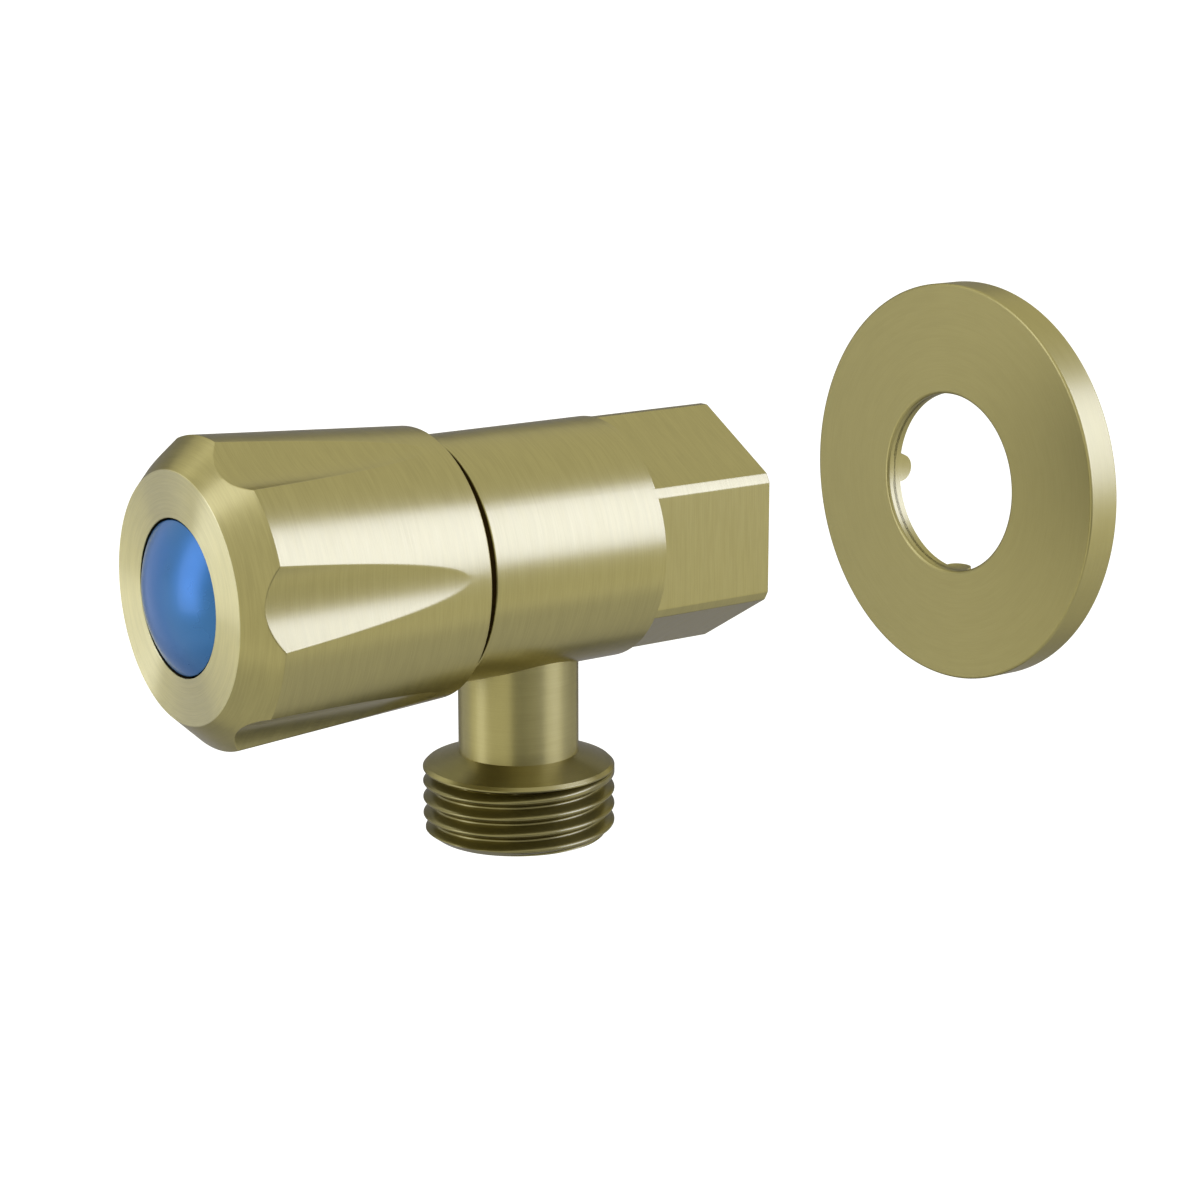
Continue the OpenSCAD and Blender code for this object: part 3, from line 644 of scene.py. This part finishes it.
def inlet_thread(columns):
    """The inlet's right-hand thread as rows of radius and station that climb with it, from the mouth in."""
    thread, body = sizes()
    start = body.mouth_bevel
    end = thread.inlet_length
    climb = columns / math.tau
    depth = thread.major_radius - thread.minor_radius
    rows = []
    for turn in range(-2, math.ceil(end / thread.pitch) + 1):
        for phase in thread_phases():
            s = np.clip((turn + phase + climb) * thread.pitch, start, end)
            here = nearest_turn(s / thread.pitch - climb)
            groove = s - here * thread.pitch
            left = smooth_step(end - 0.4 * thread.pitch, end - 1.4 * thread.pitch, groove)
            cut = thread_radius(here, 0, thread) - thread.minor_radius
            radius = thread.minor_radius + np.minimum(cut, depth * left)
            radius = np.where(s >= end, thread.minor_radius, radius)
            rows.append((np.where(s <= start, thread.minor_radius, radius), s))
    return rows


def barrel_rows(columns):
    """The barrel with its flats, its bores and the inlet thread, as rows of radius and station."""
    thread, body = sizes()
    end = body.barrel_length
    groove = end - body.ring_groove_depth
    mouth = thread.minor_radius + body.mouth_bevel
    outside = [(body.barrel_radius, s, body.edge_radius) for s in (end, 0.0)]
    bores = [(mouth, 0.0), (thread.minor_radius, body.mouth_bevel),
             (thread.minor_radius, thread.inlet_length),
             (body.waterway_radius, thread.inlet_length + body.drill_cone),
             (body.waterway_radius, body.seat_station), (body.chamber_radius, body.seat_station),
             (body.chamber_radius, body.chamber_end), (body.front_bore_radius, body.chamber_end),
             (body.front_bore_radius, groove), (body.ring_groove_radius, groove),
             (body.ring_groove_radius, end)]
    hair = 0.02 * MM

    def spacing(r, s):
        return 1.6 * MM if s > hair else body.barrel_radius

    rows = []
    for r, s in refined(rounded(outside + [(r, s, 0.0) for r, s in bores]), spacing):
        radius = r
        if r >= mouth + body.edge_radius and s < body.flat_length - hair:
            flat = flats(columns, body.flat_distance - (body.barrel_radius - r))
            radius = soft_min(r, flat, body.milled_edge)
        threaded = abs(r - thread.minor_radius) < hair and s > body.mouth_bevel
        thread_end = s > thread.inlet_length - hair
        if threaded and thread_end:
            rows += inlet_thread(columns)
        if not threaded or thread_end:
            rows.append((radius, s))
    return rows


def with_flat_ends(rows, columns):
    """Adds the upright ends of the spanner flats to the barrel's rows."""
    body = bpy.context.scene.tap_body
    made = []
    for i, (radius, s) in enumerate(rows):
        made.append((radius, s))
        next_radius, next_s = rows[(i + 1) % len(rows)]
        outer = min(np.max(radius), np.max(next_radius)) > body.barrel_radius - body.edge_radius
        if outer and s > body.flat_length >= next_s:
            cut = soft_min(body.barrel_radius, flats(columns, body.flat_distance), body.milled_edge)
            made.append((body.barrel_radius, body.flat_length))
            made.append((cut, body.flat_length - 0.02 * MM))
    return made


def thread_phases():
    """Places across one turn of thread, crowded at the edges of its crest and its root."""
    half = [0.03, 0.06, 0.09, 0.12, 0.15, 0.19, 0.25, 0.31, 0.35, 0.38, 0.41, 0.44, 0.47]
    return [-0.5] + both_sides([0.0] + half) + [half[-1]]


def outlet_thread(columns, ring):
    """The outlet thread as rows of radius and drop that climb with the thread, from the ring down."""
    thread, body = sizes()
    camera_side = math.radians(-34.0)
    start_slope = 2.2
    start_edge, taper_edge = 0.05 * MM, 0.08 * MM
    climb = (columns - camera_side) / math.tau
    low = math.floor((ring - thread.crest_drop) / thread.pitch) - 1
    high = math.ceil((body.outlet_drop - thread.crest_drop) / thread.pitch) + 2
    taper = body.outlet_drop - body.outlet_taper
    depth = thread.major_radius - thread.minor_radius
    rows = []
    for turn in range(low, high):
        for phase in thread_phases():
            drop = thread.crest_drop + (turn + phase - climb) * thread.pitch
            drop = np.clip(drop, ring, body.outlet_drop)
            here = nearest_turn((drop - thread.crest_drop) / thread.pitch + climb)
            groove = drop - (here - np.where(here > 0, 0.5, -0.5)) * thread.pitch
            cut = smooth_step(ring - 0.65 * thread.runout, ring + 0.35 * thread.runout, groove)
            radius = thread_radius(here, depth * (1 - cut), thread)
            radius = soft_max(radius, thread.major_radius - start_slope * (drop - ring), start_edge)
            fall = (drop - taper) / (body.outlet_drop - taper)
            end = thread.major_radius - (thread.major_radius - body.outlet_end_radius) * fall
            radius = soft_min(np.minimum(radius, thread.major_radius), end, taper_edge)
            rows.append((np.where(drop <= ring, thread.major_radius, radius), drop))
    return rows


def outlet_rows(columns):
    """The solid outlet: neck, shoulder, bevel, plain ring and thread, as rows of radius and drop."""
    thread, body = sizes()
    major, end = thread.major_radius, body.outlet_drop
    bevel = body.shoulder_drop + body.shoulder_fall
    bevel_foot = bevel + body.shoulder_bevel
    edge = 0.05 * MM
    corners = [(0.0, body.neck_root, 0.0), (body.neck_radius, body.neck_root, 0.0),
               (body.neck_radius, body.shoulder_drop, 0.0), (major - body.shoulder_bevel, bevel, edge),
               (major, bevel_foot, edge), (major, end, 0.0)]
    rows = open_outline(corners) + outlet_thread(columns, bevel_foot + 0.15 * MM)
    return rows + [(0.5 * body.outlet_end_radius, end), (0.0, end)]


def mark_outlet_faces(piece):
    """Gives the outlet's neck the second material, its thread the third and the rim of the barrel's mouth
    the fourth: near-black brass, a painted shade for the gap behind the knob."""
    body = bpy.context.scene.tap_body
    clear = body.barrel_radius + 0.004 * MM
    thread_top = -(body.shoulder_drop + body.shoulder_fall + body.shoulder_bevel)
    for face in piece.data.polygons:
        x, y, z = face.center
        beside = math.hypot(x, y + body.outlet_station)
        from_axis = math.hypot(x, z)
        below = z < -body.chamber_radius and beside < body.barrel_radius
        bore = beside < body.outlet_bore_radius + 0.1 * MM
        if below and (from_axis > clear or bore):
            face.material_index = 2 if z < thread_top else 1
        elif y < -body.chamber_end and from_axis < body.barrel_radius - body.edge_radius:
            face.material_index = 3


class TAP_OT_body(bpy.types.Operator):
    """Turns the barrel and the outlet, and joins them into one body."""

    bl_idname = "tap.body"
    bl_label = "Valve body"

    def execute(self, context):
        body = context.scene.tap_body
        columns = hexagon_columns()
        barrel = with_flat_ends(barrel_rows(columns), columns)
        piece = grid_piece("valve_body_skin", [along_tap(r, columns, s) for r, s in barrel], whole_turn=True)
        ring = np.linspace(0, math.tau, 241)
        outlet = grid_piece("outlet", [along_outlet(r, ring, d) for r, d in outlet_rows(ring)],
                            closed=False, whole_turn=True)
        check_closed(outlet)
        carve(piece, "UNION", outlet)
        bore_ring = np.linspace(0, math.tau, 96, endpoint=False) + math.radians(1)
        bore_top, bore_end = 6.0 * MM, body.outlet_drop + 1 * MM
        bore = [(0.0, bore_top), (body.outlet_bore_radius, bore_top),
                (body.outlet_bore_radius, bore_end), (0.0, bore_end)]
        drill = grid_piece("drill", [along_outlet(r, bore_ring, d) for r, d in bore], closed=False)
        carve(piece, "DIFFERENCE", drill)
        dress(piece, "valve_body", "tap_body", "brushed_brass",
              "olive_brass", "olive_brass_outlet", "olive_brass_thread", "dull_brass")
        mark_outlet_faces(piece)
        return {"FINISHED"}


def flute_half_angle(radius, knob):
    """Half the angle that a flute takes at a radius, in degrees, or 0 inside its floor."""
    centre = knob.flute_floor + knob.flute_cutter
    if radius <= knob.flute_floor:
        return 0.0
    cosine = (radius ** 2 + centre ** 2 - knob.flute_cutter ** 2) / (2 * radius * centre)
    return math.degrees(math.acos(min(1.0, cosine)))


def flute_columns(edge, knob):
    """Angles round the knob in degrees, crowded at the edges of the flutes."""
    shrink = min(1.0, edge / 5)
    half_sector = 180 / knob.flute_count
    inside = [(edge - 0.7 * shrink) * k for k in (0, 0.18, 0.36, 0.54, 0.7, 0.84, 0.94)]
    near = [edge + d * shrink for d in (-0.7, -0.38, -0.14, 0.14, 0.38, 0.7)]
    start = near[-1]
    outside = [start + (half_sector - start) * k for k in (0.05, 0.13, 0.23, 0.35, 0.48, 0.61, 0.74, 0.87, 1)]
    return both_sides(inside + near + outside)


def fluted_row(r, s, knob):
    """One row of the knob's outside: columns that follow the flutes, and the radius at each. Where the
    flutes have run out, the columns draw together towards the least angle."""
    least = 1.5
    edge = max(flute_half_angle(r, knob), least)
    if s > knob.rim_station and r < knob.flute_floor:
        share_left = (knob.flute_floor - r) / (knob.flute_floor - knob.face_radius)
        edge = least + (flute_half_angle(knob.rim_radius, knob) - least) * min(1.0, share_left)
    turn = np.radians(flute_columns(edge, knob))
    centre = knob.flute_floor + knob.flute_cutter
    reach = knob.flute_cutter ** 2 - (centre * np.sin(turn)) ** 2
    floor = np.where(reach > 0, centre * np.cos(turn) - np.sqrt(np.maximum(reach, 0)), 1.0)
    softness = knob.flute_edge * min(1.0, 0.07 + edge / 12)
    return turn, soft_min(r, floor, softness)


def plain_row(r, knob):
    """One row of the knob's inside, with the same number of columns."""
    return np.radians(flute_columns(flute_half_angle(knob.rim_radius, knob), knob)), r


class TAP_OT_knob(bpy.types.Operator):
    """Turns the tapered knob, with its six flutes, its hollow and its hub."""

    bl_idname = "tap.knob"
    bl_label = "Knob"

    def execute(self, context):
        knob = context.scene.tap_knob
        edge = 0.1 * MM
        corners = [
            (knob.rear_radius, knob.rear_station, knob.rear_edge),
            (knob.rim_radius, knob.rim_station, knob.rim_edge),
            (knob.face_radius, knob.face_station, knob.face_edge),
            (knob.recess_radius, knob.face_station, edge), (knob.recess_radius, knob.button_station, 0.0),
            (knob.snap_bore, knob.button_station, edge), (knob.snap_bore, knob.screw_station, 0.0),
            (knob.screw_hole, knob.screw_station, edge), (knob.screw_hole, knob.web_station, edge),
            (knob.hub_bore, knob.web_station, 0.0), (knob.hub_bore, knob.hub_station, edge),
            (knob.hub_radius, knob.hub_station, edge), (knob.hub_radius, knob.cavity_station, 0.0),
            (knob.cavity_radius, knob.cavity_station, 0.0), (knob.cavity_radius, knob.rear_station, edge)]

        def spacing(r, s):
            if r < knob.face_radius:
                return 2.5 * MM
            return 0.16 * MM if s > knob.rim_station else 0.45 * MM

        sectors = knob.flute_turn + math.tau / knob.flute_count * np.arange(knob.flute_count)
        rows = []
        for r, s in refined(rounded(corners), spacing):
            side = r > knob.cavity_radius + 4 * edge
            front = s > knob.face_station - edge and r > knob.face_radius - edge
            turn, radius = fluted_row(r, s, knob) if side or front else plain_row(r, knob)
            rows.append(along_tap(radius, sectors[:, None] + turn, s).reshape(-1, 3))
        piece = grid_piece("knob_skin", rows)
        dress(piece, "knob", "turning_set", "brushed_brass", "olive_brass", "olive_brass_face", "dull_brass")
        # The knob's hollow gets the near-black brass, a painted shade for the gap behind the knob.
        for face in piece.data.polygons:
            x, y, z = face.center
            if y < -knob.face_station + edge:
                face.material_index = 1
            elif math.hypot(x, z) < knob.cavity_radius + edge:
                face.material_index = 2
        return {"FINISHED"}


class TAP_OT_button(bpy.types.Operator):
    """Moulds the domed blue button with its three snap legs."""

    bl_idname = "tap.button"
    bl_label = "Index button"

    def execute(self, context):
        button = context.scene.tap_button
        seat = context.scene.tap_knob.button_station
        crown = button.crown_station - button.rim_station
        dome = (button.rim_radius ** 2 + crown ** 2) / (2 * crown)
        widest = math.asin(button.rim_radius / dome)
        centre = button.crown_station - dome
        outline = [(dome * math.sin(widest * k / 24), centre + dome * math.cos(widest * k / 24))
                   for k in range(24)]
        inner = button.leg_radius - button.leg_wall
        roof = (button.rim_station + seat) / 2
        edge = 0.1 * MM
        outline += rounded([
            (*outline[-1], 0.0), (button.rim_radius, button.rim_station, button.rim_edge),
            (button.rim_radius, seat, 0.08 * MM), (button.leg_radius, seat, edge),
            (button.leg_radius, button.leg_station, edge), (inner, button.leg_station, edge),
            (inner, roof, edge), (0.0, roof, 0.0)])[1:]
        ring = np.linspace(0, math.tau, 144, endpoint=False)
        piece = grid_piece("index_button_cap", [along_tap(r, ring, s) for r, s in outline], closed=False)
        for i in range(3):
            slot = block("slot", (0.0, -seat + 0.3 * MM, -button.leg_slot / 2),
                         (2 * button.leg_radius, -button.leg_station + 1 * MM, button.leg_slot / 2))
            slot.data.transform(Matrix.Rotation(math.radians(-120 * i), 4, "Y"))
            carve(piece, "DIFFERENCE", slot)
        dress(piece, "index_button", "turning_set", "blue_button", "blue_plastic")
        return {"FINISHED"}


def tongue_columns(plate):
    """Angles round the plate, crowded at the tongues' sides."""
    half_sector = 180 / plate.tongue_count
    side = math.degrees(math.asin(plate.tongue_radius / plate.hole_radius))
    on_tongue = [side * math.sin(math.pi / 2 * k / 9) for k in range(9)]
    away = list(np.linspace(side + 1.2, half_sector, 24))
    sector = both_sides(on_tongue + [side, side + 0.02] + away)
    return np.radians([2 * half_sector * i + a for i in range(plate.tongue_count) for a in sector])


class TAP_OT_plate(bpy.types.Operator):
    """Presses the cover plate: flat front, turned-back rim, folded collar and grip tongues."""

    bl_idname = "tap.plate"
    bl_label = "Cover plate"

    def execute(self, context):
        plate = context.scene.tap_plate
        columns = tongue_columns(plate)
        turn = nearest_turn(columns / math.tau * plate.tongue_count) * math.tau / plate.tongue_count
        across = plate.hole_radius * np.sin(turn)
        tip = plate.collar_depth + np.sqrt(np.maximum(plate.tongue_radius ** 2 - across ** 2, 0))
        inner_rim = plate.outer_radius - plate.sheet
        collar = plate.hole_radius + plate.sheet
        inside_fold = 0.3 * MM
        rows = open_outline([
            (plate.hole_radius, plate.collar_depth, 0.0), (plate.hole_radius, 0.0, plate.fold_radius),
            (plate.outer_radius, 0.0, plate.rim_edge), (plate.outer_radius, plate.rim_depth, 0.15 * MM),
            (inner_rim, plate.rim_depth, 0.1 * MM), (inner_rim, plate.sheet, inside_fold),
            (collar, plate.sheet, inside_fold), (collar, plate.collar_depth, 0.0)], steps=6)

        def bent(radius, depth):
            return radius - plate.tongue_set * np.maximum(depth - plate.collar_depth, 0) / plate.tongue_radius

        steps = 8
        outside, inside = rows[-1][1], plate.fold_radius * 1.5
        for k in range(1, steps + 1):
            depth = outside + (tip - outside) * k / steps
            rows.append((bent(collar, depth), depth))
        for k in range(steps):
            depth = tip + (inside - tip) * k / steps
            rows.append((bent(plate.hole_radius, depth), depth))
        piece = grid_piece("cover_plate_pressing",
                           [along_tap(r, columns, -(plate.front + s)) for r, s in rows[1:]])
        dress(piece, "cover_plate", "loose_plate", "brushed_brass", "olive_brass_plate")
        return {"FINISHED"}


class TAP_OT_inside(bpy.types.Operator):
    """Gives the cartridge and the other inner parts their finishes."""

    bl_idname = "tap.inside"
    bl_label = "Inner parts"

    def execute(self, context):
        finishes = {
            "bare_brass": ("cartridge_housing", "spindle"),
            "black_rubber": ("housing_ring", "seat_seal", "lower_spindle_ring", "upper_spindle_ring"),
            "milky_nylon": ("seal_support_ring", "slip_washer", "spline_bush"),
            "lapped_ceramic": ("fixed_disc", "moving_disc"),
            "satin_steel": ("stop_washer", "circlip", "knob_screw", "lock_washer"),
            "olive_brass": ("valve_body", "knob", "cover_plate"),
            "blue_plastic": ("index_button",)}
        for name, nodes in finishes.items():
            for node in nodes:
                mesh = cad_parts[node].data
                mesh.materials.clear()
                mesh.materials.append(bpy.data.materials[name])
        return {"FINISHED"}


def stand(thing, azimuth, elevation, distance, roll=0.0):
    """Stands a lamp or card round the tap, turns it towards the tap and rolls it. Azimuth counts from
    the wall side towards +X."""
    middle = Vector((0.0, -0.03, 0.0))
    a, e = math.radians(azimuth), math.radians(elevation)
    away = Vector((math.sin(a) * math.cos(e), math.cos(a) * math.cos(e), math.sin(e)))
    thing.location = middle + away * distance
    thing.rotation_euler = (-away).to_track_quat("-Z", "Y").to_euler()
    thing.rotation_euler.rotate_axis("Z", math.radians(roll))


def softbox(name, azimuth, elevation, distance, width, height, roll, level, tint):
    """A soft lamp. Its level is its brightness, where 1 is white."""
    data = bpy.data.lights.new(name, "AREA")
    data.shape = "RECTANGLE"
    data.size = width
    data.size_y = height
    data.energy = level * math.pi * width * height
    data.color = tint
    lamp = add_object(name, data)
    lamp.visible_camera = False
    stand(lamp, azimuth, elevation, distance, roll)


def matt(name, tone):
    """A plain matt material's tree and its Principled BSDF."""
    return new_material(name, {"Base Color": (*tone, 1.0), "Roughness": 1.0, "Specular IOR Level": 0.0})


def rectangle(name, width, height, material):
    """A flat rectangle of one material."""
    w, h = width / 2, height / 2
    mesh = bpy.data.meshes.new(name)
    mesh.from_pydata([(-w, -h, 0), (w, -h, 0), (w, h, 0), (-w, h, 0)], [], [(0, 1, 2, 3)])
    mesh.materials.append(bpy.data.materials[material])
    return add_object(name, mesh)


def card(name, azimuth, elevation, distance, width, height, tone):
    """A plain grey card that only the brass sees: it casts no shadow on the tap or the floor."""
    matt(name, (tone, tone, tone))
    panel = rectangle(name, width, height, name)
    panel.visible_camera = False
    panel.visible_shadow = False
    panel.visible_diffuse = False
    stand(panel, azimuth, elevation, distance)


def seen_rays(shader):
    """1 for rays from the camera, from metal and through glass, and 0 for the light itself."""
    path = shader.node("ShaderNodeLightPath")
    seen = shader.math("MAXIMUM", path.outputs["Is Camera Ray"], path.outputs["Is Glossy Ray"])
    return shader.math("MAXIMUM", seen, path.outputs["Is Transmission Ray"])


def pale_floor(stage):
    """A plain pale floor that fades to white away from the tap and keeps the tap's shadow."""
    shader, surface = matt("pale_floor", stage.floor_colour)
    distance = shader.vector("LENGTH", shader.node("ShaderNodeTexCoord").outputs["Object"])
    glow = shader.ramp(distance, stage.fade_start, stage.fade_end, stage.near_glow, stage.far_glow)
    strength = shader.math("MULTIPLY", glow, seen_rays(shader))
    shader.feed(surface, {"Emission Color": (1.0, 1.0, 1.0, 1.0), "Emission Strength": strength})
    floor = rectangle("floor", 2 * stage.floor_reach, 2 * stage.floor_reach, "pale_floor")
    floor.location = (0.0, -0.01, -stage.floor_drop)


def studio_world(stage):
    """A plain pale room: white where it is seen, dimmer as light."""
    world = bpy.data.worlds.new("studio")
    world.use_nodes = True
    shader = Shader(world.node_tree)
    strength = shader.ramp(seen_rays(shader), 0.0, 1.0, stage.room_level, 1.0)
    background = world.node_tree.nodes["Background"]
    shader.feed(background, {"Color": (1.0, 1.0, 1.0, 1.0), "Strength": strength})
    bpy.context.scene.world = world


# Name, azimuth, elevation, distance, width, height, roll, level and tint of each lamp.
LAMPS = (
    ("key_softbox", 51, 23, 0.70, 0.46, 0.58, -26, 3.05, (0.84, 0.97, 2.5)),
    ("front_softbox", -162, 20, 0.80, 0.34, 1.10, 0, 1.9, (0.93, 1.0, 1.6)),
    ("side_softbox", -108, 44, 0.55, 0.14, 0.14, 0, 1.2, (0.95, 1.0, 1.2)))
# Name, azimuth, elevation, distance, width, height and tone of each card.
CARDS = (
    ("side_card", -62, -2, 0.62, 1.15, 0.72, 0.36), ("upper_side_card", -79, 35, 0.40, 0.12, 0.10, 0.04),
    ("ground_card", -65, -48, 0.48, 0.9, 0.42, 0.50), ("dark_card", -34, -61, 0.40, 0.17, 0.13, 0.06),
    ("front_card", -114, -12, 0.60, 0.36, 0.62, 0.95), ("camera_card", 120, -15, 0.46, 0.26, 0.26, 0.28),
    ("right_card", 88, -15, 0.50, 0.28, 0.26, 0.45), ("wall_card", 8, -20, 0.60, 0.50, 0.26, 0.75))


class TAP_OT_stage(bpy.types.Operator):
    """Sets up the camera, the soft lamps, the grey cards, the room and the pale floor."""

    bl_idname = "tap.stage"
    bl_label = "Stage"

    def execute(self, context):
        scene = context.scene
        stage = scene.tap_stage
        data = bpy.data.cameras.new("camera")
        data.lens = stage.lens
        data.sensor_width = 36.0
        data.clip_start = 0.01
        data.clip_end = 200.0
        camera = add_object("camera", data)
        camera.location = stage.camera_place
        camera.rotation_euler = (math.pi / 2 - stage.camera_pitch, 0.0, stage.camera_yaw)
        scene.camera = camera
        scene.view_settings.view_transform = "Standard"
        for lamp in LAMPS:
            softbox(*lamp)
        studio_world(stage)
        for panel in CARDS:
            card(*panel)
        pale_floor(stage)
        return {"FINISHED"}


class TAP_PT_sidebar(bpy.types.Panel):
    """Lists the steps in the 3D view's sidebar."""

    bl_idname = "TAP_PT_sidebar"
    bl_label = "Cistern tap"
    bl_space_type = "VIEW_3D"
    bl_region_type = "UI"
    bl_category = "Cistern tap"

    def draw(self, context):
        for operator in OPERATORS:
            self.layout.operator(operator.bl_idname)


GROUPS = {
    "tap_thread": TapThreadSizes, "tap_body": TapBodySizes, "tap_knob": TapKnobSizes,
    "tap_button": TapButtonSizes, "tap_plate": TapPlateSizes, "tap_finish": TapFinish, "tap_stage": TapStage}
OPERATORS = (
    TAP_OT_finishes, TAP_OT_body, TAP_OT_knob, TAP_OT_button, TAP_OT_plate, TAP_OT_inside, TAP_OT_stage)


def register():
    for group in GROUPS.values():
        bpy.utils.register_class(group)
    for name, group in GROUPS.items():
        setattr(bpy.types.Scene, name, bpy.props.PointerProperty(type=group))
    for operator in OPERATORS:
        bpy.utils.register_class(operator)
    bpy.utils.register_class(TAP_PT_sidebar)


def unregister():
    bpy.utils.unregister_class(TAP_PT_sidebar)
    for operator in reversed(OPERATORS):
        bpy.utils.unregister_class(operator)
    for name, group in GROUPS.items():
        delattr(bpy.types.Scene, name)
        bpy.utils.unregister_class(group)


def main():
    """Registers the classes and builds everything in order."""
    register()
    bpy.ops.tap.finishes()
    bpy.ops.tap.body()
    bpy.ops.tap.knob()
    bpy.ops.tap.button()
    bpy.ops.tap.plate()
    bpy.ops.tap.inside()
    bpy.ops.tap.stage()


if __name__ == "__main__":
    main()
